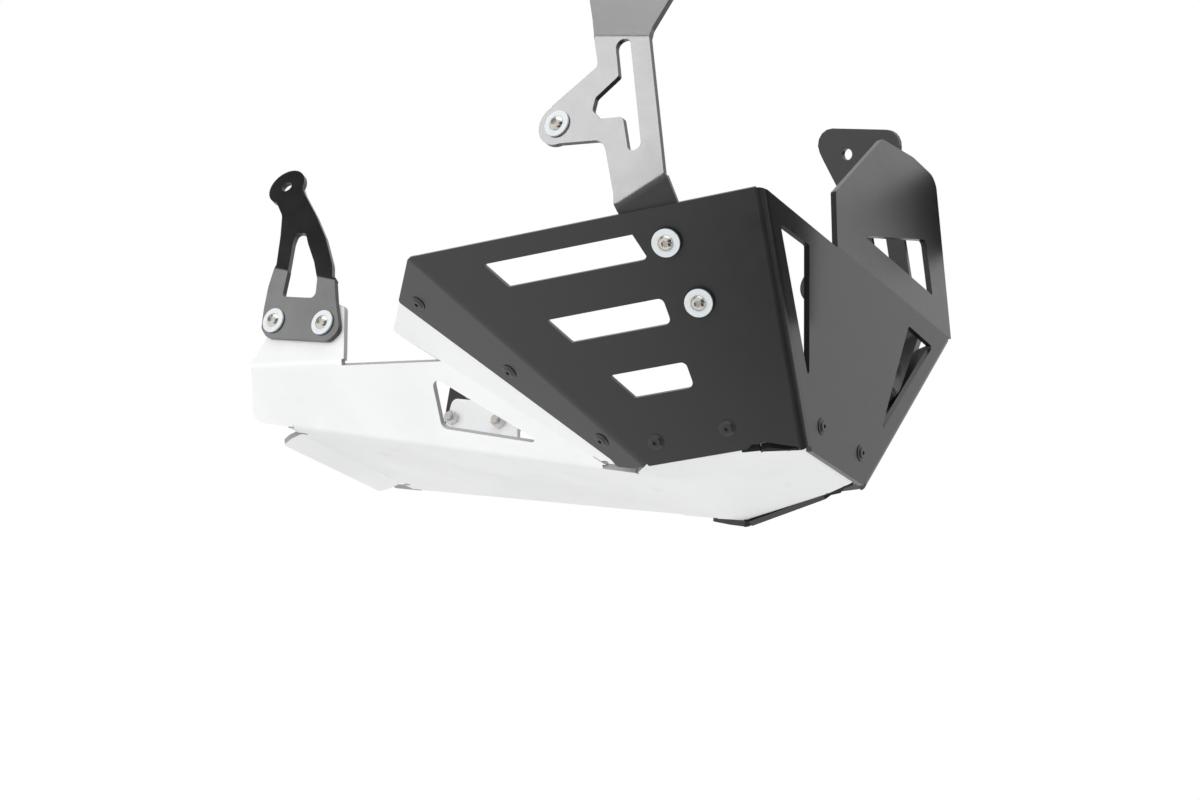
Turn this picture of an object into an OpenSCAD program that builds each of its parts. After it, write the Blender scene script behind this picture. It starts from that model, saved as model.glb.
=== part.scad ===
// Motorcycle skid plate: a black folded nose plate riveted to a bare folded
// bottom plate, with two front and two rear brackets and their fasteners.
// +X points to the front wheel, +Y to the machine's left, +Z up. The origin is
// the middle of the flat bottom panel, on its underside.

/* [Sheets] */
// Thickness of the two folded plates
plate_t = 4; // [3.5:0.5:4]
// Thickness of the four brackets
bracket_t = 4; // [3.5:0.5:4]
// Inside radius of every fold
bend_r = 3; // [2:0.5:4]

/* [Bottom plate] */
// Length of the flat bottom panel between its front and rear folds
bottom_len = 290; // [280:1:300]
// Half the panel's width at its front fold
bottom_half = 51.5; // [48:0.5:55]
// Angle by which each side of the panel widens to the rear
bottom_taper = 5.2; // [4.6:0.1:5.8]
// Fold between the panel and its side walls
wall_fold = 48; // [46:0.5:50]
// Fold that lifts the front facet
facet_fold = 16; // [15:0.5:17]
// Length of the drooping rear lip
lip_len = 18; // [12:1:24]
// Fold of the rear lip
lip_fold = 30; // [20:1:35]
// Outer face of the upright rear tabs, from the centre plane
tab_y = 109.5; // [108:0.5:111]

/* [Nose plate] */
// Lower edge of the front face, ahead of the bottom panel's front fold
nose_ahead = 115; // [111:1:119]
// Height of that edge over the bottom panel
nose_z = 30; // [28:0.5:32]
// Height of the front face, along the sheet
nose_h = 138; // [134:1:142]
// Half the width of the front face at its lower edge
nose_low_half = 42.5; // [40:0.5:45]
// Half the width at its upper edge
nose_top_half = 139.5; // [136:0.5:143]
// Angle by which the front face leans back
nose_lean = 6.5; // [5.5:0.5:7.5]
// Fold between the front face and each side panel
side_fold = 72.4; // [70:0.2:75]
// Length of a side panel's upper edge
side_len = 236.5; // [234:0.5:240]
// Height of a side panel
side_h = 162.5; // [160:0.5:165]
// Fold between a side panel and its lapping strip
strip_fold = 37.5; // [36.5:0.5:38.5]
// Fold by which the wing tips back
wing_fold = 12; // [8:1:16]
// Height of the wing over the front face
wing_h = 129; // [120:1:136]

/* [Brackets] */
// How far the front brackets stand out beyond the nose plate's upper corners
front_bracket_out = 20.5; // [18.5:0.5:22.5]
// How much further forward the left front bracket sits, along its side panel
left_ahead = 30; // [26:1:32]
// Fold at the top of the front brackets
front_top_fold = 22; // [15:1:28]
// Fold that leans the rear brackets in to the frame
rear_lean = 15; // [8:1:20]

/* [Fasteners] */
// Diameter of the wide washers
washer_d = 18; // [16:0.5:19]
// Diameter of the small bolts
bolt_d = 6; // [5:0.5:6]
// Diameter of the rivet heads
rivet_head_d = 11; // [9.5:0.5:12]
// Diameter of the frame holes in the brackets
frame_hole_d = 8.5; // [8.4:0.1:9]

/* [Hidden] */
$fn = 48;

reach = 500;
nose_x = bottom_len / 2 + nose_ahead;
rivet_r = 2.5;
rivet_play = 0.05;
lap = 0.25;
seat = 0.03;
seat_turn = 6.4;
washer_t = 1.6;
rubber_t = 3;
hole_r = bolt_d / 2 + 0.4;
head_r = bolt_d * 0.875;
head_h = bolt_d * 0.55;
nut_h = bolt_d * 0.9;

// A face of folded sheet is held as [origin, x, y, outward normal].
function unit(v) = v / norm(v);
function put(f, p) = f[0] + p[0] * f[1] + p[1] * f[2];
function flat(f, w) = [(w - f[0]) * f[1], (w - f[0]) * f[2]];
// The point of a face at a flat x whose distance from the centre plane is given
function reaching(f, x, out) = put(f, [x, (out - f[0][1] - x * f[1][1]) / f[2][1]]);
function behind(f, depth) = [f[0] - depth * f[3], f[1], f[2], f[3]];
function spun(f, a) = [f[0], cos(a) * f[1] + sin(a) * f[2],
    cos(a) * f[2] - sin(a) * f[1], f[3]];
// The face beyond a fold: the fold starts at a flat point of f and runs along
// an angle. The new face lies to its left, and a positive turn folds it back.
function folded(f, at, along, turn) =
    let (g = spun(f, along))
    [put(f, at), g[1], cos(turn) * g[2] - sin(turn) * f[3],
        sin(turn) * g[2] + cos(turn) * f[3]];

// The line where two faces would meet with no bend radius.
function fold_dir(f, g) = unit(cross(f[3], g[3]));
function fold_point(f, g) =
    let (m = unit(cross(fold_dir(f, g), f[3])))
    f[0] + m * ((g[0] - f[0]) * g[3]) / (m * g[3]);
function fold_turn(f, g) = acos(f[3] * g[3]);
// How far from that line the flat sheet stops, lapping the bend by a hair. A
// hollow fold has its outward faces on the inside of the bend.
function setback(f, g, hollow, t) =
    (hollow ? bend_r : bend_r + t) * tan(fold_turn(f, g) / 2) - lap;

// An outline [[x, y, corner radius], ...] with its corners rounded.
function corner(a, b, c, r, steps = 5) =
    r == 0 ? [b] :
    let (u = unit(a - b), v = unit(c - b), half = acos(u * v) / 2,
        mid = b + unit(u + v) * r / sin(half),
        from = b + u * r / tan(half) - mid, to = b + v * r / tan(half) - mid,
        a0 = atan2(from[1], from[0]), raw = atan2(to[1], to[0]) - a0,
        sweep = raw > 180 ? raw - 360 : raw < -180 ? raw + 360 : raw)
    [for (i = [0 : steps]) mid + r * [cos(a0 + sweep * i / steps), sin(a0 + sweep * i / steps)]];
function xy(p) = [p[0], p[1]];
function rounded(pts) =
    let (n = len(pts))
    [for (i = [0 : n - 1])
        for (p = corner(xy(pts[(i + n - 1) % n]), xy(pts[i]), xy(pts[(i + 1) % n]),
                is_undef(pts[i][2]) ? 0 : pts[i][2])) p];

module on(f) multmatrix([
    [f[1][0], f[2][0], f[3][0], f[0][0]],
    [f[1][1], f[2][1], f[3][1], f[0][1]],
    [f[1][2], f[2][2], f[3][2], f[0][2]],
    [0, 0, 0, 1]]) children();
module sheet(f, t = plate_t) on(f) translate([0, 0, -t]) linear_extrude(t) children();
module outline(pts) polygon(rounded(pts));
module both_ways() { children(); mirror([1, 0]) children(); }
module both_sides() { children(); mirror([0, 1, 0]) children(); }
module on_side(side) if (side == "left") children(); else mirror([0, 1, 0]) children();

// The part of face f's plane on its own side of the fold to face g.
module up_to(f, g, hollow = false, t = plate_t)
{
    away = (hollow ? -1 : 1) * [g[3] * f[1], g[3] * f[2]];
    edge = flat(f, fold_point(f, g)) - unit(away) * setback(f, g, hollow, t);
    translate(edge) rotate(atan2(away[1], away[0]))
        translate([-reach, -reach]) square([reach, 2 * reach]);
}

// The bend between two faces, between two flat points of f beside its ends. It
// stands a hair proud and runs a little into both sheets, so that all fuse.
module bend(f, g, from, to, hollow = false, t = plate_t)
{
    turn = fold_turn(f, g);
    d = fold_dir(f, g);
    p = fold_point(f, g);
    ends = [(put(f, from) - p) * d, (put(f, to) - p) * d];
    out = unit(f[3] + g[3]) * (hollow ? -1 : 1);
    r = hollow ? bend_r : bend_r + t;
    axis = p - out * r / cos(turn / 2) + d * min(ends);
    on([axis, out, cross(d, out), d]) rotate(-turn / 2 - seat_turn)
        rotate_extrude(angle = turn + 2 * seat_turn)
            translate([bend_r + seat, 0]) square([t, abs(ends[1] - ends[0])]);
}

// The faces of the nose plate. The side panel's x runs rearward along its upper
// edge and its y up; the strip's x runs down its fold.
nose = [[nose_x, 0, nose_z], [0, 1, 0],
    [-sin(nose_lean), 0, cos(nose_lean)], [cos(nose_lean), 0, sin(nose_lean)]];
nose_edge = [nose_low_half - nose_top_half, -nose_h];
panel_turn = 87;
panel = spun(folded(nose, [nose_top_half, nose_h],
    atan2(nose_edge[1], nose_edge[0]), side_fold), panel_turn);
panel_low_len = 115;
strip_edge = [panel_low_len - side_len, -side_h];
strip = folded(panel, [side_len, 0], atan2(strip_edge[1], strip_edge[0]), strip_fold);
strip_len = norm(strip_edge);
wing = folded(nose, [0, nose_h + 1.5], 0, wing_fold);
wing_clear = 6;
// The plane just under the upper edges of the front face and a side panel
rim_up = unit(cross(nose[1], panel[1]));
rim = [put(nose, [nose_top_half, nose_h]) - 0.3 * rim_up, nose[1], cross(rim_up, nose[1]), rim_up];

// The faces of the bottom plate. The floor's x runs rearward from its front
// fold, and the tab's from the panel's rear fold. Flanges lie against the inside
// of the nose plate.
floor_face = [[bottom_len / 2, 0, 0], [-1, 0, 0], [0, 1, 0], [0, 0, -1]];
facet = folded(floor_face, [0, 0], 90, facet_fold);
wall = folded(floor_face, [0, bottom_half], bottom_taper, wall_fold);
lip = folded(floor_face, [bottom_len, 0], -90, -lip_fold);
tab = [[-bottom_len / 2, tab_y, 0], [-1, 0, 0], [0, 0, 1], [0, 1, 0]];
wall_flange = behind(strip, plate_t);
side_flange = behind(panel, plate_t);
nose_flange = behind(nose, plate_t);

// The faces of the brackets. The front one's x runs rearward along its lower
// fold, and the rear one's plate lies against the outside of the tab.
front_slope = 20.3;
front_foot = behind(panel, plate_t);
front_start = 59.7;
front_main = [reaching(front_foot, front_start, nose_top_half + front_bracket_out),
    [-cos(front_slope), 0, -sin(front_slope)], [-sin(front_slope), 0, cos(front_slope)], [0, 1, 0]];
front_top = folded(front_main, [3, 103], 21.3, front_top_fold);
rear_plate = behind(tab, -bracket_t);
rear_arm = folded(rear_plate, [-41, 100], 6, rear_lean);

// Rivet and bolt places, flat on the face that they go through.
strip_rivets = [[21.5, 34.8], [96.2, 23.2], [170.5, 11.2]];
side_rivets = [[56.6, -146.8], [104.5, -147.8]];
nose_rivets = [[27.7, 19.5], [-27.7, 19.5]];
front_bolts = [[66.9, -22.7], [55.2, -63.7]];
rear_bolts = [[4.6, 66.7], [-41.5, 67.7]];
arm_hole = [75.6, 64.1];
front_frame_holes = [[22, 43], [47, 41]];
rear_frame_hole = [97, 69];

// Places on a side's panel that go with its front bracket
function ahead(side) = side == "left" ? left_ahead : 0;
function along(side, places) = [for (p = places) p - [ahead(side), 0]];
module holes(places, r) for (p = places) translate(p) circle(r);

// Nose plate
slot_h = 17.3;
slot_tops = [-14, -57, -99.7];
slot_margin = 38;
function fold_x(y) = side_len + y * (side_len - panel_low_len) / side_h;
function slot_front(y) = 84.6 + 0.115 * y;
module panel_slot(y)
{
    low = y - slot_h;
    outline([[fold_x(y) - slot_margin, y, 1], [slot_front(y), y, 4],
        [slot_front(low), low, 4], [fold_x(low) - slot_margin, low, 1.5]]);
}
module panel_face(side) difference()
{
    intersection()
    {
        outline([[-5, 0], [side_len + 5, 0], [fold_x(-side_h) + 5, -side_h], [47, -side_h],
            [43.5, 2.6 - side_h], [34, 2.6 - side_h, 8], [8.6, -5.9 - side_h], [-5, -7 - side_h]]);
        up_to(panel, nose);
        up_to(panel, strip);
    }
    for (y = slot_tops) panel_slot(y);
    holes(side_rivets, rivet_r);
    holes(along(side, front_bolts), hole_r);
}
module strip_face() difference()
{
    intersection()
    {
        outline([[0, 0], [9.6, 50, 2.5], [183, 21.6, 3], [189.7, 22.9, 2], [197.2, 12.3], [strip_len, 0]]);
        up_to(strip, panel);
    }
    holes(strip_rivets, rivet_r);
}
module nose_face() difference()
{
    intersection()
    {
        union()
        {
            polygon([[-nose_low_half, 0], [nose_low_half, 0],
                [nose_top_half + 2, nose_h], [-nose_top_half - 2, nose_h]]);
            translate([-38, nose_h - 1]) square([nose_top_half + 38 - wing_clear, 4]);
        }
        up_to(nose, panel);
        mirror([1, 0]) up_to(nose, panel);
        up_to(nose, wing);
    }
    both_ways() outline([[112.3, 124, 2], [73.5, 125.2, 2], [51, 40, 1.5]]);
    holes(nose_rivets, rivet_r);
}
module wing_face() difference()
{
    intersection()
    {
        outline([[-38, -1], [-34, 41.5, 3], [49, wing_h - 9.5, 6], [101, wing_h, 30],
            [nose_top_half, wing_h, 10], [nose_top_half, -1]]);
        up_to(wing, nose);
    }
    outline([[4.6, 25, 0.8], [110, 66.5, 3], [113.2, 24, 2]]);
}
module nose_plate() color([0.2, 0.2, 0.21])
{
    sheet(nose) nose_face();
    sheet(wing) wing_face();
    bend(nose, wing, [-37.5, nose_h], [nose_top_half - wing_clear - 0.4, nose_h]);
    for (side = ["right", "left"]) on_side(side)
    {
        sheet(panel) panel_face(side);
        sheet(strip) strip_face();
        intersection()
        {
            bend(nose, panel, [nose_top_half + 6, nose_h + 9], [nose_low_half, 0.3]);
            on(rim) translate([-reach, -reach, -2 * reach]) cube(2 * reach);
        }
        bend(panel, strip, [side_len - 1.5, -1], [panel_low_len + 0.8, -side_h]);
    }
}

// Bottom plate
wall_start = 27;
wall_end = bottom_len - 6;
function side_y(x) = bottom_half + x * tan(bottom_taper);
module floor_half()
{
    intersection()
    {
        polygon([[0, -1], [0, bottom_half], [bottom_len, side_y(bottom_len)], [bottom_len, -1]]);
        up_to(floor_face, facet);
        up_to(floor_face, wall);
        up_to(floor_face, lip, true);
    }
    polygon([[2, 40], [2, side_y(2)], [wall_start, side_y(wall_start)], [wall_start, 40]]);
}
module lip_slot() outline([[bottom_len - 8, 60, 1.5], [bottom_len + 1, 60], [bottom_len + 1, 63.5],
    [bottom_len - 8, 63.5, 1.5]]);
module floor_panel() for (s = [0, 1]) mirror([0, s]) difference() { floor_half(); lip_slot(); }
module facet_face() intersection()
{
    union()
    {
        intersection()
        {
            both_ways() polygon([[-1, -1], [bottom_half, -1], [64, 14], [75, 17], [55, 92], [42, 99],
                [38, 111], [37, 130], [-1, 130]]);
            up_to(facet, side_flange);
            mirror([1, 0]) up_to(facet, side_flange);
        }
        both_ways() facet_corner();
    }
    up_to(facet, floor_face);
    up_to(facet, nose_flange);
}
// The front corner that reaches under the side panel's lower edge
module facet_corner() polygon([[30, 88], [43.2, 88], [49.6, 89.7], [49, 96], [41.9, 102.3],
    [39.5, 110.9], [36, 114], [30, 114]]);
module nose_flange_face() difference()
{
    intersection()
    {
        outline([[-36, -5], [-36, 31, 6], [36, 31, 6], [36, -5]]);
        up_to(nose_flange, facet);
    }
    holes(nose_rivets, rivet_r);
}
module side_flange_face() difference()
{
    intersection()
    {
        outline([[44, -135, 8], [118, -135, 8], [118, -175], [44, -175]]);
        up_to(side_flange, facet);
    }
    holes(side_rivets, rivet_r);
}
module wall_face() difference()
{
    union()
    {
        intersection()
        {
            outline([[wall_start, -1], [21.6, 7, 2], [26, 12], [26, 50], [wall_end - 103, 140],
                [wall_end - 102.5, 83.2, 2], [wall_end - 88.4, 61, 3], [wall_end - 59.8, 54.3, 3],
                [wall_end - 54.5, 70], [wall_end + 27.7, 57], [wall_end + 27.7, 44], [wall_end + 34.8, 7, 8],
                [wall_end + 32, -1], [wall_end, -1]]);
            up_to(wall, floor_face);
            up_to(wall, tab);
            up_to(wall, wall_flange, true);
        }
        outline([[wall_end, 0], [wall_end, 12], [wall_end + 33.9, 12], [wall_end + 35.5, 0, 8]]);
    }
    outline([[154.5, 53.5, 5], [71, 12.5, 2], [152.5, 14.5, 5]]);
}
module wall_flange_face() difference()
{
    intersection()
    {
        outline([[17.5, 99], [8.8, 52], [15, 6, 4], [186, 6, 4], [183.5, 24], [181.5, 33, 2], [177, 44]]);
        up_to(wall_flange, wall, true);
    }
    holes(strip_rivets, rivet_r);
}
module tab_face() difference()
{
    intersection()
    {
        outline([[18.5, 15], [18.2, 34], [10.5, 56], [10.5, 83, 5], [-53, 83, 5], [-63.5, 52], [-66, 44], [-66, 15]]);
        up_to(tab, wall);
    }
    holes(rear_bolts, hole_r);
}
module lip_face() intersection()
{
    outline([[-60, -1], [-60, 10], [-57.5, lip_len, 4], [57.5, lip_len, 4], [60, 10], [60, -1]]);
    up_to(lip, floor_face, true);
}
module bottom_plate() color([0.86, 0.87, 0.88])
{
    sheet(floor_face) floor_panel();
    sheet(facet) facet_face();
    sheet(nose_flange) nose_flange_face();
    sheet(lip) lip_face();
    bend(floor_face, facet, [0, 0.6 - bottom_half], [0, bottom_half - 0.6]);
    bend(facet, nose_flange, [-35.6, 112], [35.6, 112]);
    bend(floor_face, lip, [bottom_len, -59.6], [bottom_len, 59.6], true);
    both_sides()
    {
        sheet(wall) wall_face();
        sheet(wall_flange) wall_flange_face();
        sheet(tab) tab_face();
        sheet(side_flange) side_flange_face();
        bend(floor_face, wall, [wall_start, bottom_half], [wall_end - 0.6, bottom_half + 26]);
        bend(wall, wall_flange, [179.5, 81], [34, 6], true);
        bend(wall, tab, [wall_end + 27.3, 45], [wall_end - 54, 58]);
        bend(facet, side_flange, [67, 17], [49, 88]);
    }
}

// Front bracket: a slotted plate with a lobed arm, folded foot and top
module front_main_face() difference()
{
    intersection()
    {
        union()
        {
            outline([[0, -14], [3.6, 101.8], [3, 118], [44, 136], [44.2, 117.7], [42.6, 94.5, 6],
                [70, 82.5], [70, 49], [42, 40.5, 12], [37.5, 0], [38.5, -24]]);
            translate(arm_hole) circle(14.5);
            outline([[44, 95], [79, 79], [83, 60], [75, 49.6], [44, 41]]);
        }
        up_to(front_main, front_foot, false, bracket_t);
        up_to(front_main, front_top, false, bracket_t);
    }
    translate(arm_hole) circle(hole_r);
    outline([[28.7, 108.4, 5.2], [27.9, 82.4, 2], [46, 73, 3], [49, 64.5, 3], [43.5, 56.4, 3], [26.9, 51.8, 3],
        [24.6, 25, 4.4], [15, 25, 4.4], [17.7, 108.4, 5.2]]);
}
module front_foot_face() difference()
{
    intersection()
    {
        outline([[96, 30], [95, 2], [67.5, -71, 11], [44.5, -77, 11], [56, 2], [60, 30]]);
        up_to(front_foot, front_main, false, bracket_t);
    }
    holes(front_bolts, hole_r);
}
module front_top_face() difference()
{
    intersection()
    {
        outline([[0.2, -4], [2.4, 8, 10], [3.6, 60, 12], [82, 60, 12], [67.3, 35.8, 40], [54.1, 16], [41.6, -4]]);
        up_to(front_top, front_main, false, bracket_t);
    }
    holes(front_frame_holes, frame_hole_d / 2);
}
module front_bracket(side) color([0.5, 0.5, 0.52]) on_side(side) translate(-ahead(side) * panel[1])
{
    sheet(front_main, bracket_t) front_main_face();
    sheet(front_foot, bracket_t) front_foot_face();
    sheet(front_top, bracket_t) front_top_face();
    bend(front_main, front_foot, [0.5, 0], [37, 0], false, bracket_t);
    bend(front_main, front_top, [3.9, 103.2], [43.7, 118.6], false, bracket_t);
}

// Rear bracket: a two-bolt plate under an A-shaped arm that leans in to the frame
module rear_plate_face() difference()
{
    intersection()
    {
        outline([[14.5, 60, 6], [7, 54, 6], [-50.5, 54.8, 8], [-58.4, 63, 7], [-54.8, 70.6, 20], [-47.5, 84.5, 20],
            [-41.6, 98], [-41.1, 106], [19, 112], [19.6, 91.4, 20], [17.5, 74, 10]]);
        up_to(rear_plate, rear_arm, false, bracket_t);
    }
    holes(rear_bolts, hole_r);
    outline([[3.6, 85.2, 3], [-27.8, 85.6, 4], [-24.1, 102], [-19, 120], [7, 120], [5.3, 104]]);
}
module rear_arm_face() difference()
{
    intersection()
    {
        union()
        {
            outline([[-0.4, -4], [10.8, 12.2, 30], [31.5, 32.4, 40], [52.3, 48.9, 40], [76.3, 65.8, 20],
                [97, 84], [97, 54], [84, 44, 14], [73.5, 27, 20], [66.5, 14, 20], [60.5, 3], [60.2, -4]]);
            translate(rear_frame_hole) circle(15);
        }
        up_to(rear_arm, rear_plate, false, bracket_t);
    }
    translate(rear_frame_hole) circle(frame_hole_d / 2);
    outline([[15.2, -6], [17.8, 0], [27.9, 10.9, 30], [43.5, 24.5, 30], [51.5, 32.6, 4], [60.5, 32.8, 3],
        [58.3, 23.9, 20], [46.8, 0.5], [46, -6]]);
}
module rear_bracket(side) color([0.26, 0.26, 0.28]) on_side(side)
{
    sheet(rear_plate, bracket_t) rear_plate_face();
    sheet(rear_arm, bracket_t) rear_arm_face();
    bend(rear_plate, rear_arm, [-40.8, 100], [-24.6, 102], false, bracket_t);
    bend(rear_plate, rear_arm, [6.2, 105], [18.4, 106], false, bracket_t);
}

// Fasteners, drawn upright on the surface that they clamp
module rivet(grip)
{
    difference()
    {
        union()
        {
            cylinder(r = rivet_head_d / 2, h = 0.6);
            translate([0, 0, 0.6]) cylinder(r1 = rivet_head_d * 0.44, r2 = rivet_head_d * 0.3, h = 1.3);
        }
        translate([0, 0, 0.4]) cylinder(r = 1.3, h = 3);
    }
    translate([0, 0, -grip - 2]) cylinder(r = rivet_r - rivet_play, h = grip + 2.2);
    translate([0, 0, -grip - 2.8]) cylinder(r1 = rivet_r, r2 = rivet_r + 1, h = 2.8);
}
module button_bolt(length)
{
    ball_r = (head_r * head_r + head_h * head_h) / (2 * head_h);
    difference()
    {
        intersection()
        {
            cylinder(r = head_r, h = head_h - 0.2);
            translate([0, 0, head_h - ball_r]) sphere(ball_r);
        }
        translate([0, 0, head_h * 0.4]) rotate(30) cylinder(r = bolt_d * 0.385, h = head_h, $fn = 6);
    }
    translate([0, 0, -length]) cylinder(r = bolt_d / 2, h = length);
}
module wide_washer(t, r = washer_d / 2) difference()
{
    cylinder(r = r, h = t);
    translate([0, 0, -1]) cylinder(r = bolt_d / 2 + 0.2, h = t + 2);
}
module hex_nut() difference()
{
    rotate(30) cylinder(r = bolt_d * 0.96, h = nut_h, $fn = 6);
    translate([0, 0, -1]) cylinder(r = bolt_d / 2 + 0.05, h = nut_h + 2);
}
module placed(side, face, places, lift)
    on_side(side) for (p = places) on(face) translate([p[0], p[1], lift]) children();
// The same, moved with the side's front bracket
module with_bracket(side, face, places, lift)
    on_side(side) translate(-ahead(side) * panel[1])
        for (p = places) on(face) translate([p[0], p[1], lift]) children();

stack = plate_t + bracket_t;
module strip_rivet_set(side) color([0.16, 0.16, 0.17]) placed(side, strip, strip_rivets, 0) rivet(2 * plate_t);
module side_rivet_set(side) color([0.16, 0.16, 0.17]) placed(side, panel, side_rivets, 0) rivet(2 * plate_t);
module nose_rivet_set() color([0.16, 0.16, 0.17]) placed("left", nose, nose_rivets, 0) rivet(2 * plate_t);
module front_bolt_set(side) color([0.7, 0.68, 0.64])
    with_bracket(side, panel, front_bolts, rubber_t + washer_t) button_bolt(rubber_t + washer_t + stack + nut_h + 3);
module front_washer_set(side) color([0.88, 0.91, 0.94]) with_bracket(side, panel, front_bolts, rubber_t) wide_washer(washer_t);
module rubber_washer_set(side) color([0.06, 0.06, 0.06])
    with_bracket(side, panel, front_bolts, 0) wide_washer(rubber_t, washer_d / 2 + 0.4);
module front_nut_set(side) color([0.7, 0.7, 0.7]) with_bracket(side, panel, front_bolts, -stack - nut_h) hex_nut();
module rear_bolt_set(side) color([0.7, 0.68, 0.64])
    placed(side, rear_plate, rear_bolts, washer_t) button_bolt(washer_t + stack + nut_h + 3);
module rear_washer_set(side) color([0.88, 0.91, 0.94]) placed(side, rear_plate, rear_bolts, 0) wide_washer(washer_t);
module rear_nut_set(side) color([0.7, 0.7, 0.7]) placed(side, rear_plate, rear_bolts, -stack - nut_h) hex_nut();
module arm_bolt(side) color([0.7, 0.68, 0.64])
    with_bracket(side, front_main, [arm_hole], washer_t) button_bolt(washer_t + bracket_t + 16);
module arm_washer(side) color([0.88, 0.91, 0.94]) with_bracket(side, front_main, [arm_hole], 0) wide_washer(washer_t);

nose_plate();
bottom_plate();
nose_rivet_set();  // nose_rivets
front_bracket("right");  // front_bracket_right
front_bracket("left");  // front_bracket_left
rear_bracket("right");  // rear_bracket_right
rear_bracket("left");  // rear_bracket_left
strip_rivet_set("right");  // strip_rivets_right
strip_rivet_set("left");  // strip_rivets_left
side_rivet_set("right");  // side_rivets_right
side_rivet_set("left");  // side_rivets_left
front_bolt_set("right");  // front_bolts_right
front_bolt_set("left");  // front_bolts_left
front_washer_set("right");  // front_washers_right
front_washer_set("left");  // front_washers_left
rubber_washer_set("right");  // rubber_washers_right
rubber_washer_set("left");  // rubber_washers_left
front_nut_set("right");  // front_nuts_right
front_nut_set("left");  // front_nuts_left
rear_bolt_set("right");  // rear_bolts_right
rear_bolt_set("left");  // rear_bolts_left
rear_washer_set("right");  // rear_washers_right
rear_washer_set("left");  // rear_washers_left
rear_nut_set("right");  // rear_nuts_right
rear_nut_set("left");  // rear_nuts_left
arm_bolt("right");  // arm_bolt_right
arm_bolt("left");  // arm_bolt_left
arm_washer("right");  // arm_washer_right
arm_washer("left");  // arm_washer_left
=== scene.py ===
import math

import bmesh
import bpy
from mathutils import Matrix, Vector


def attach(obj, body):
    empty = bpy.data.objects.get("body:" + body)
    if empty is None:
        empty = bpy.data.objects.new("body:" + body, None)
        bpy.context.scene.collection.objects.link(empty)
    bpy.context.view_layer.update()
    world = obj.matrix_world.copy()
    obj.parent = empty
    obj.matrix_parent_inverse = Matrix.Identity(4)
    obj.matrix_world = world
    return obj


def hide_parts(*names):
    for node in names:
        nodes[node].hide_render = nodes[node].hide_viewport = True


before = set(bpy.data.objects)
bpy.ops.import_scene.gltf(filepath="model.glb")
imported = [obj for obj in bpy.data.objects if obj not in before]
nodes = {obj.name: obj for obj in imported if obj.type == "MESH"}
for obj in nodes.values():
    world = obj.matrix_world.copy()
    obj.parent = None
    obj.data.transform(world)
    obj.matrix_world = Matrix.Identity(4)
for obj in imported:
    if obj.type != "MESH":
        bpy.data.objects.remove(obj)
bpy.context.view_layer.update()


# The studio: a pale floor well under the camera, which looks up a little at
# the plate as at a machine on a stand, soft lamps and a white surround. Black
# cards and three softboxes show in gloss only.
class Val:
    """One value in a material's maths: + - * on it add Math nodes."""

    def __init__(self, tree, socket):
        self.tree = tree
        self.socket = socket

    def maths(self, operation, a, b):
        return self.tree.add("ShaderNodeMath", {"operation": operation}, {0: a, 1: b})

    def __add__(self, other):
        return self.maths("ADD", self, other)

    def __radd__(self, other):
        return self.maths("ADD", other, self)

    def __sub__(self, other):
        return self.maths("SUBTRACT", self, other)

    def __rsub__(self, other):
        return self.maths("SUBTRACT", other, self)

    def __mul__(self, other):
        return self.maths("MULTIPLY", self, other)

    def __rmul__(self, other):
        return self.maths("MULTIPLY", other, self)

    def at_least(self, other):
        return self.maths("MAXIMUM", self, other)

    def at_most(self, other):
        return self.maths("MINIMUM", self, other)


class Nodes:
    """The nodes of one tree, and the place or direction that they work from."""

    def __init__(self, tree, place="Object"):
        self.nodes = tree.nodes
        self.links = tree.links
        self.place = self.add("ShaderNodeTexCoord", {}, {}, place)

    def add(self, kind, settings, inputs, output=0):
        node = self.nodes.new(kind)
        for key, value in settings.items():
            setattr(node, key, value)
        for key, value in inputs.items():
            self.join(node.inputs[key], value)
        return Val(self, node.outputs[output])

    def join(self, socket, value):
        if isinstance(value, Val):
            self.links.new(value.socket, socket)
        else:
            socket.default_value = value

    def noise(self, scale, detail, rough, stretch=(1, 1, 1), at=(0, 0, 0)):
        spot = self.add("ShaderNodeMapping", {}, {"Vector": self.place, "Location": at, "Scale": stretch})
        return self.add("ShaderNodeTexNoise", {},
                        {"Vector": spot, "Scale": scale, "Detail": detail, "Roughness": rough})

    def step(self, value, low, high):
        """0 under low, 1 over high and smooth between them."""
        return self.add("ShaderNodeMapRange", {"interpolation_type": "SMOOTHSTEP"},
                        {"Value": value, "From Min": low, "From Max": high, "To Min": 0.0, "To Max": 1.0})

    def blend(self, share, a, b):
        """Colour a where share is 0 and colour b where it is 1."""
        node = self.nodes.new("ShaderNodeMix")
        node.data_type = "RGBA"
        self.join(node.inputs[0], share)
        self.join(node.inputs[6], a)
        self.join(node.inputs[7], b)
        return Val(self, node.outputs[2])

    def near(self, centre, reach, core):
        """1 within core of a point, falling smoothly to 0 at reach from it."""
        away = self.add("ShaderNodeVectorMath", {"operation": "DISTANCE"},
                        {0: self.place, 1: centre}, "Value")
        return 1 - self.step(away, core, reach)


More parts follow.
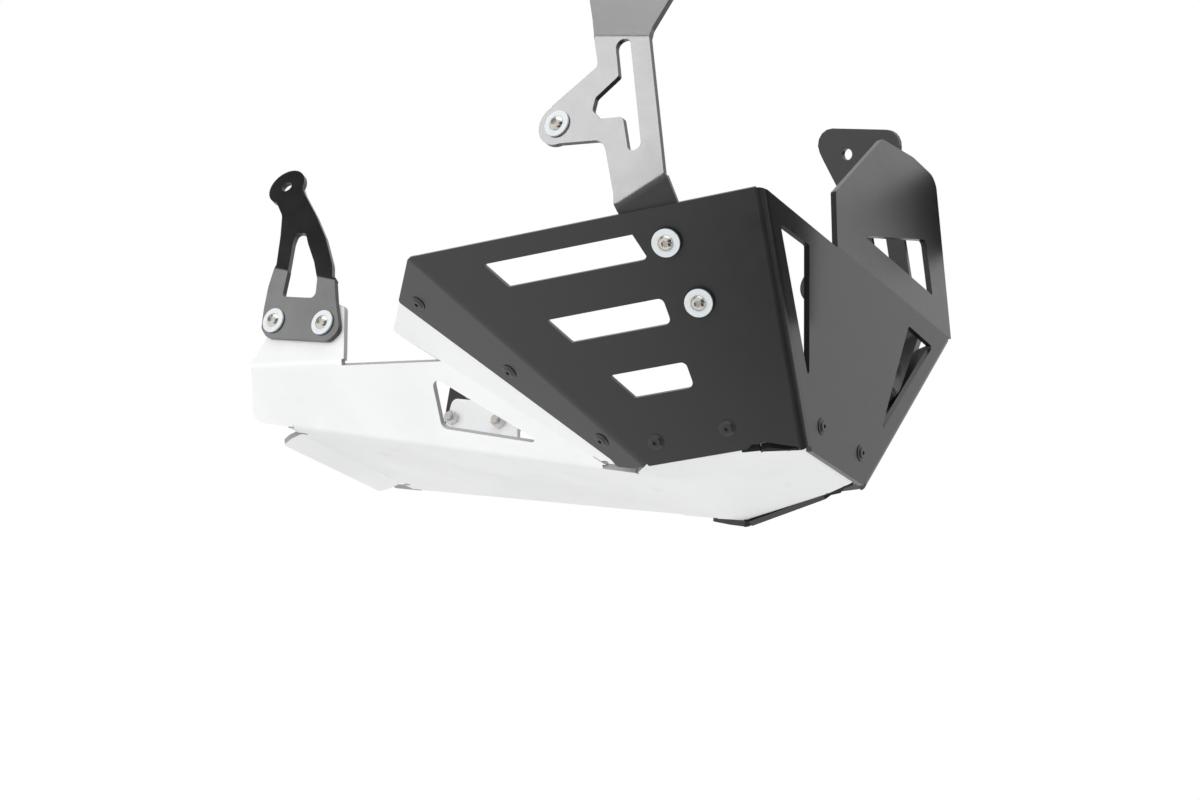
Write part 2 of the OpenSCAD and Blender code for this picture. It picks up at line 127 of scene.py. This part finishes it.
white = (1, 1, 1, 1)
sky_strength = 0.85
glow_strength = 0.12
surround = bpy.data.worlds.new("studio_surround")
bpy.context.scene.world = surround
surround.use_nodes = True
surround.node_tree.nodes.clear()
sky = Nodes(surround.node_tree, "Generated")
ray = sky.nodes.new("ShaderNodeLightPath")
in_gloss = Val(sky, ray.outputs["Is Glossy Ray"])
in_view = Val(sky, ray.outputs["Is Camera Ray"])
dark_left = sky.near((-0.650, -0.480, 0.600), 0.46, 0.20)
dark_front = sky.near((0.975, -0.20, -0.05), 0.80, 0.50)
glow = sky.near((0.30, 0.82, 0.48), 0.55, 0.20) * glow_strength
mirrored_sky = (1 - dark_left.at_least(dark_front)) * sky_strength + glow
strength = in_gloss * mirrored_sky + (1 - in_gloss) * sky_strength
light = sky.add("ShaderNodeBackground", {}, {"Color": white, "Strength": strength})
seen = sky.add("ShaderNodeBackground", {}, {"Color": white, "Strength": 1.0})
both = sky.add("ShaderNodeMixShader", {}, {0: in_view, 1: light, 2: seen})
sky.join(sky.nodes.new("ShaderNodeOutputWorld").inputs["Surface"], both)
bpy.context.scene.view_settings.view_transform = "Standard"


class Coat(Nodes):
    """A material on the Principled shader."""

    def __init__(self, name, specular=0.5):
        self.material = bpy.data.materials.new(name)
        self.material.use_nodes = True
        super().__init__(self.material.node_tree)
        self.shader = self.nodes["Principled BSDF"]
        self.shader.inputs["Specular IOR Level"].default_value = specular

    def set(self, **values):
        for key, value in values.items():
            self.join(self.shader.inputs[key.replace("_", " ")], value)

    def bump(self, height, strength, depth):
        return self.add("ShaderNodeBump", {}, {"Height": height, "Strength": strength, "Distance": depth})


floor_z = -0.78
floor_size = 14
floor_tone = 0.68
white_strength = 0.93
white_share = 0.75
bpy.ops.object.select_all(action="DESELECT")
bpy.ops.mesh.primitive_plane_add(size=floor_size, location=(0, 0, floor_z))
floor = bpy.context.object
floor.name = "studio_floor"
bpy.ops.object.transform_apply(location=True)
floor_coat = Coat("pale_floor")
floor_coat.set(Base_Color=(floor_tone, floor_tone, floor_tone, 1), Roughness=0.9)
floor.data.materials.append(floor_coat.material)
path = floor_coat.nodes.new("ShaderNodeLightPath")
floor_in_gloss = Val(floor_coat, path.outputs["Is Glossy Ray"])
floor_in_view = Val(floor_coat, path.outputs["Is Camera Ray"])
# Painted reflection: seen in gloss the floor glows white, with two painted dark patches near the camera
# and ahead, for dark ground mirrored in the plate.
dark_near = floor_coat.near((0.80, -1.02, floor_z), 0.50, 0.40)
dark_ahead = floor_coat.near((2.6, -0.6, floor_z), 2.0, 1.3)
mirrored = floor_coat.blend(dark_near.at_least(dark_ahead), white, (0.0, 0.0, 0.0, 1))
in_mirror = floor_coat.add("ShaderNodeEmission", {}, {"Color": mirrored, "Strength": 1.0})
pale = floor_coat.add("ShaderNodeEmission", {}, {"Color": white, "Strength": white_strength})
painted = Val(floor_coat, floor_coat.shader.outputs[0])
shown = floor_coat.add("ShaderNodeMixShader", {}, {0: floor_in_gloss, 1: painted, 2: in_mirror})
shown = floor_coat.add("ShaderNodeMixShader", {}, {0: floor_in_view * white_share, 1: shown, 2: pale})
underneath = Val(floor_coat, floor_coat.nodes.new("ShaderNodeNewGeometry").outputs["Backfacing"])
clear = floor_coat.add("ShaderNodeBsdfTransparent", {}, {})
shown = floor_coat.add("ShaderNodeMixShader", {}, {0: underneath, 1: shown, 2: clear})
floor_coat.join(floor_coat.nodes["Material Output"].inputs["Surface"], shown)


def soft_lamp(name, place, aim, size, power, diffuse=True, gloss=True):
    bpy.ops.object.light_add(type="AREA", location=place)
    lamp = bpy.context.object
    lamp.name = name
    lamp.data.shape = "RECTANGLE"
    lamp.data.size = size[0]
    lamp.data.size_y = size[1]
    lamp.data.energy = power
    lamp.rotation_euler = (Vector(aim) - Vector(place)).to_track_quat("-Z", "Y").to_euler()
    lamp.visible_diffuse = diffuse
    lamp.visible_glossy = gloss
    return lamp


soft_lamp("lamp_above", (0.3, -0.6, 2.4), (0, 0, 0.1), (2.4, 2.4), 22)
soft_lamp("lamp_front", (2.6, 0.9, 0.9), (0.1, 0, 0.1), (1.6, 1.6), 12)
soft_lamp("lamp_side", (-0.4, -2.4, 0.0), (0, 0, 0.1), (2.0, 1.4), 24, gloss=False)
soft_lamp("lamp_low", (2.4, 0.1, -0.45), (0, 0, 0.05), (1.2, 0.5), 4, gloss=False)
softbox = soft_lamp("softbox", (-0.508, -0.969, 0.61), (0.13, -0.16, 0.23),
                    (0.62, 0.62), 12.5, diffuse=False)
softbox_top = soft_lamp("softbox_top", (-0.363, -0.414, 1.0), (0.15, -0.175, 0.30),
                        (0.40, 0.40), 1.9, diffuse=False)
softbox_rear = soft_lamp("softbox_rear", (-1.0, -0.95, 0.34), (-0.17, -0.12, 0.1),
                         (0.5, 0.5), 3.0, diffuse=False)


def black_card(name, y, x_from, x_to, z_from, z_to):
    """A black card at one y, which shows in the gloss of the plate alone."""
    mesh = bpy.data.meshes.new(name)
    corners = [(x_from, y, z_from), (x_to, y, z_from), (x_to, y, z_to), (x_from, y, z_to)]
    mesh.from_pydata(corners, [], [(0, 1, 2, 3)])
    card = bpy.data.objects.new(name, mesh)
    bpy.context.scene.collection.objects.link(card)
    black = Coat(name + "_black", specular=0.0)
    black.set(Base_Color=(0.002, 0.002, 0.002, 1), Roughness=1.0)
    mesh.materials.append(black.material)
    card.visible_camera = False
    card.visible_diffuse = False
    card.visible_shadow = False


black_card("flag_wing", 0.205, 0.14, 0.262, 0.272, 0.345)
black_card("flag_nose", -0.035, 0.265, 0.60, 0.12, 0.50)


# The camera: its place, tilt and focal length come from the folds, washers
# and slots of the plate as they lie in the photograph.
right = Vector((0.8119, 0.5311, 0.2425))
up = -Vector((0.0710, 0.3224, -0.9439))
back = -Vector((-0.5795, 0.7836, 0.2241))
camera_place = (1.0013, -1.2699, -0.3012)
sensor_width = 36
focal_pixels = 2336
picture_width = 1200
bpy.ops.object.camera_add(location=(0, 0, 0))
camera = bpy.context.object
turned = Matrix((right, up, back)).transposed().to_4x4()
camera.matrix_world = Matrix.Translation(camera_place) @ turned
camera.data.sensor_width = sensor_width
camera.data.lens = focal_pixels / picture_width * sensor_width
camera.data.clip_start = 0.01
bpy.context.scene.camera = camera


# The nose plate: one sheet of 4 mm aluminium, laser cut, folded to a front
# face, two side panels, two lapping strips and the wing, and powder coated in
# satin black. The coat has a fine grain and softens every cut edge.
def fill_fold_end(mesh, end):
    """Metal in the small step where a fold ends at a plate's rim."""
    reach = 0.0052
    inset = 0.00002
    plug = bmesh.new()
    for corner in mesh.vertices:
        if (corner.co - Vector(end)).length < reach:
            plug.verts.new(corner.co)
    hull = bmesh.ops.convex_hull(plug, input=plug.verts)
    inside = hull["geom_interior"] + hull["geom_unused"]
    spare = {part for part in inside if isinstance(part, bmesh.types.BMVert)}
    bmesh.ops.delete(plug, geom=list(spare), context="VERTS")
    bmesh.ops.recalc_face_normals(plug, faces=plug.faces)
    middle = sum((corner.co for corner in plug.verts), Vector()) / len(plug.verts)
    for corner in plug.verts:
        corner.co += (middle - corner.co).normalized() * inset
    plug.from_mesh(mesh)
    plug.to_mesh(mesh)
    plug.free()


def mark_cut_edges(mesh, front_end):
    """The second material for narrow faces square to a wide one beside them,
    as far forward as front_end."""
    wide_area = 0.00005
    narrow_area = 0.0008
    nearly_square = 0.15
    shape = bmesh.new()
    shape.from_mesh(mesh)
    for seam in shape.edges:
        if len(seam.link_faces) != 2:
            continue
        narrow, wide = sorted(seam.link_faces, key=lambda face: face.calc_area())
        square = abs(narrow.normal.dot(wide.normal)) < nearly_square
        if square and wide.calc_area() > wide_area and narrow.calc_area() < narrow_area:
            narrow.material_index = int(narrow.calc_center_median().x < front_end)
    shape.to_mesh(mesh)
    shape.free()


def dressed(node, name, coat, rounding, sharp=33, fold_ends=(), cut_edge=None):
    """A copy of a CAD node with its triangles merged, the ends of its folds
    filled to the flats beside them, and its edges rounded."""
    merge_distance = 0.00002
    flat_angle = 0.6
    smooth_angle = 50
    cut_edge_front_end = 0.215
    mesh = nodes[node].data.copy()
    piece = bpy.data.objects.new(name, mesh)
    bpy.context.scene.collection.objects.link(piece)
    bpy.ops.object.select_all(action="DESELECT")
    piece.select_set(True)
    bpy.context.view_layer.objects.active = piece
    bpy.ops.object.mode_set(mode="EDIT")
    bpy.ops.mesh.select_all(action="SELECT")
    bpy.ops.mesh.remove_doubles(threshold=merge_distance)
    bpy.ops.mesh.dissolve_limited(angle_limit=math.radians(flat_angle))
    bpy.ops.object.mode_set(mode="OBJECT")
    for end in fold_ends:
        fill_fold_end(mesh, end)
    piece.data.materials.clear()
    piece.data.materials.append(coat.material)
    if cut_edge:
        piece.data.materials.append(cut_edge.material)
        mark_cut_edges(mesh, cut_edge_front_end)
    bpy.ops.object.modifier_add(type="BEVEL")
    bevel = piece.modifiers[-1]
    bevel.width = rounding
    bevel.segments = 2
    bevel.limit_method = "ANGLE"
    bevel.angle_limit = math.radians(sharp)
    bpy.ops.object.modifier_apply(modifier=bevel.name)
    bpy.ops.object.shade_smooth_by_angle(angle=math.radians(smooth_angle))
    bpy.ops.object.modifier_add(type="WEIGHTED_NORMAL")
    weighted = piece.modifiers[-1]
    weighted.keep_sharp = True
    bpy.ops.object.modifier_apply(modifier=weighted.name)
    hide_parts(node)
    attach(piece, "root")
    return piece


def powder_coat(name, tone, rough, grain=1.0):
    coat = Coat(name, specular=0.75)
    fine = coat.noise(2600, 2, 0.6)
    soft = coat.noise(90, 3, 0.5)
    wide = coat.noise(9, 3, 0.55)
    dark = tuple(c * 0.85 for c in tone)
    light = tuple(c * 1.25 for c in tone)
    coat.set(Base_Color=coat.blend(wide * 0.6 + soft * 0.4, (*dark, 1), (*light, 1)),
             Roughness=rough + (soft - 0.5) * 0.08 + (wide - 0.5) * 0.12,
             Normal=coat.bump(fine * 0.6 + soft * 0.4, 0.12 * grain, 0.0002))
    return coat


sheet_rounding = 0.0004
black_coat = powder_coat("black_powder_coat", (0.011, 0.011, 0.0115), 0.30)
nose_plate = dressed("nose_plate", "nose_plate_coated", black_coat, sheet_rounding)


# The bottom plate: one sheet of bare 4 mm aluminium, folded to a trough with
# a front facet, a drooping lip and flanges. It has a fine rolled grain, faint
# smudges and duller cut edges. Each front corner of the facet is painted black:
# painted shadow where the notch under the nose plate's fold lies in shade.
bare_metal = Coat("bare_aluminium")
grain = bare_metal.noise(420, 3, 0.6, stretch=(0.06, 1, 1))
cloud = bare_metal.noise(11, 4, 0.55)
smudge = bare_metal.step(bare_metal.noise(26, 4, 0.6, at=(0.3, 0.1, 0.7)), 0.58, 0.78)
apart = bare_metal.add("ShaderNodeVectorMath", {"operation": "ABSOLUTE"}, {0: bare_metal.place})


def beyond(through, outward):
    """Over 0 past the plane through a point, on both sides of the plate alike."""
    away = bare_metal.add("ShaderNodeVectorMath", {"operation": "SUBTRACT"}, {0: apart, 1: through})
    return bare_metal.add("ShaderNodeVectorMath", {"operation": "DOT_PRODUCT"},
                          {0: away, 1: outward}, "Value")


forward = (1.0, 0.0, 0.0)
sideways = (0.0, 1.0, 0.0)
# Painted shadow: the facet's two front corners are black, matt and not metallic, standing in for the shade
# in the notch under the nose plate's fold.
corner = beyond((0.2343, 0.0515, 0.0), (0.813, 0.583, 0.0))
corner = corner.at_most(beyond((0.2439, 0.0381, 0.0), (0.108, 0.994, 0.0)))
rim = beyond((0.2310, 0.0449, 0.0), (0.432, 0.902, 0.0))
rim = rim.at_most(beyond((0.2295, 0.0, 0.0), forward))
edge = beyond((0.2047, 0.0, 0.0174), (-0.2756, 0.0, 0.9613))
edge = edge.at_most(beyond((0.218, 0.044, 0.0), forward))
edge = edge.at_most(beyond((0.218, 0.044, 0.0), sideways))
painted_corner_shadow = bare_metal.step(corner.at_least(rim).at_least(edge), 0.0, 0.0002)
clouds = bare_metal.step(cloud, 0.35, 0.65)
cloudy = bare_metal.blend(clouds, (0.875, 0.88, 0.885, 1), (0.925, 0.93, 0.935, 1))
smudged = bare_metal.blend(smudge * 0.35, cloudy, (0.74, 0.70, 0.65, 1))
bare_metal.set(Base_Color=bare_metal.blend(painted_corner_shadow, smudged, (0.006, 0.006, 0.006, 1)),
               Metallic=0.45 * (1 - painted_corner_shadow),
               Roughness=0.46 + (cloud - 0.5) * 0.08 + (grain - 0.5) * 0.08 + painted_corner_shadow * 0.4,
               Normal=bare_metal.bump(grain, 0.05, 0.0001))
cut_metal = Coat("aluminium_cut_edge")
streak = cut_metal.noise(900, 3, 0.6)
cut_metal.set(Base_Color=cut_metal.blend(streak, (0.30, 0.30, 0.30, 1), (0.46, 0.46, 0.46, 1)),
              Metallic=0.4,
              Roughness=0.55 + (streak - 0.5) * 0.2,
              Normal=cut_metal.bump(streak, 0.2, 0.0001))
bottom_plate = dressed("bottom_plate", "bottom_plate_bare", bare_metal, sheet_rounding, cut_edge=cut_metal)


# The front brackets: 4 mm steel, slotted and folded at the foot and the top,
# with a lobed arm for the engine bolt, under a satin grey-black coat.
def light_only(lamps, piece, name):
    """The lamps reach this piece alone."""
    reached = bpy.data.collections.new(name)
    reached.objects.link(piece)
    for lamp in lamps:
        lamp.light_linking.receiver_collection = reached


front_coat = powder_coat("front_bracket_coat", (0.014, 0.014, 0.015), 0.30, grain=0.7)
front_fold_ends = [(0.1850, -0.1575, 0.1645), (0.1554, -0.1575, 0.1434),
                   (0.1454, -0.1569, 0.2622), (0.1031, -0.1582, 0.2599)]
for side, ends in (("right", front_fold_ends), ("left", ())):
    piece = dressed(f"front_bracket_{side}", f"front_bracket_{side}_coated", front_coat, sheet_rounding,
                    fold_ends=ends)
    if side == "right":
        light_only((softbox, softbox_top), piece, "softbox_sheen")


# The rear brackets: 4 mm steel with an open A-shaped arm, folded above the
# foot that is bolted to the bottom plate's tab, and coated satin black.
rear_coat = powder_coat("rear_bracket_coat", (0.006, 0.006, 0.0065), 0.30, grain=0.8)
rear_fold_ends = [(-0.1049, 0.1115, 0.0999), (-0.1637, 0.1115, 0.1064),
                  (-0.1208, 0.1119, 0.1012), (-0.1509, 0.1119, 0.1046)]
for side, out in (("right", -1), ("left", 1)):
    ends = [(x, out * y, z) for x, y, z in rear_fold_ends]
    piece = dressed(f"rear_bracket_{side}", f"rear_bracket_{side}_coated", rear_coat, sheet_rounding,
                    fold_ends=ends)
    if side == "right":
        light_only((softbox_rear,), piece, "rear_softbox_sheen")


# The blind rivets: black, with a domed rim and an open middle, set through
# the nose plate and the flanges behind it.
rivet_coat = powder_coat("black_rivets", (0.014, 0.014, 0.015), 0.34, grain=0.5)
rivet_groups = ("nose_rivets", "strip_rivets_right", "strip_rivets_left",
                "side_rivets_right", "side_rivets_left")
for node in rivet_groups:
    piece = dressed(node, f"{node}_set", rivet_coat, rounding=0.00015)


# The bolts: M6 button heads with a hexagon socket, bright zinc over steel.
# They join the brackets to the plates, and the front arms to the engine.
def plated(name, tone, rough, tint, metal=1.0):
    coat = Coat(name)
    fine = coat.noise(900, 3, 0.6)
    wide = coat.noise(120, 3, 0.5)
    coat.set(Base_Color=coat.blend(wide, (*tone, 1), (*tint, 1)),
             Metallic=metal,
             Roughness=rough + (fine - 0.5) * 0.12,
             Normal=coat.bump(fine, 0.06, 0.0001))
    return coat


def plated_pairs(kinds, coat, rounding, sharp=33):
    """The right and left piece of each kind of plated fastener."""
    for kind in kinds:
        for side in ("right", "left"):
            piece = dressed(f"{kind}_{side}", f"{kind}_{side}_plated", coat, rounding, sharp=sharp)


bolt_metal = plated("bolt_steel", (0.62, 0.59, 0.54), 0.26, (0.72, 0.69, 0.64))
plated_pairs(("front_bolts", "rear_bolts", "arm_bolt"), bolt_metal, rounding=0.00012, sharp=40)


# The wide washers: 18 mm discs, one under each bolt's head, in bright zinc
# with a faint blue tinge.
washer_metal = plated("washer_zinc", (0.66, 0.71, 0.74), 0.46, (0.72, 0.75, 0.76), metal=0.15)
plated_pairs(("front_washers", "rear_washers", "arm_washer"), washer_metal, rounding=0.0002)


# The rubber washers: matt black discs between the front bolts' wide washers
# and the nose plate's side panels.
rubber = Coat("washer_rubber")
rubber_grain = rubber.noise(700, 3, 0.6)
rubber.set(Base_Color=rubber.blend(rubber_grain, (0.012, 0.012, 0.012, 1), (0.025, 0.025, 0.025, 1)),
           Roughness=0.75,
           Normal=rubber.bump(rubber_grain, 0.1, 0.0001))
for side in ("right", "left"):
    piece = dressed(f"rubber_washers_{side}", f"rubber_washers_{side}_moulded", rubber, rounding=0.0004)


# The nuts: plain zinc-plated hexagons, screwed on the front and rear bolts
# behind the sheet.
nut_metal = plated("nut_steel", (0.62, 0.64, 0.66), 0.34, (0.70, 0.70, 0.68))
plated_pairs(("front_nuts", "rear_nuts"), nut_metal, rounding=0.0003)
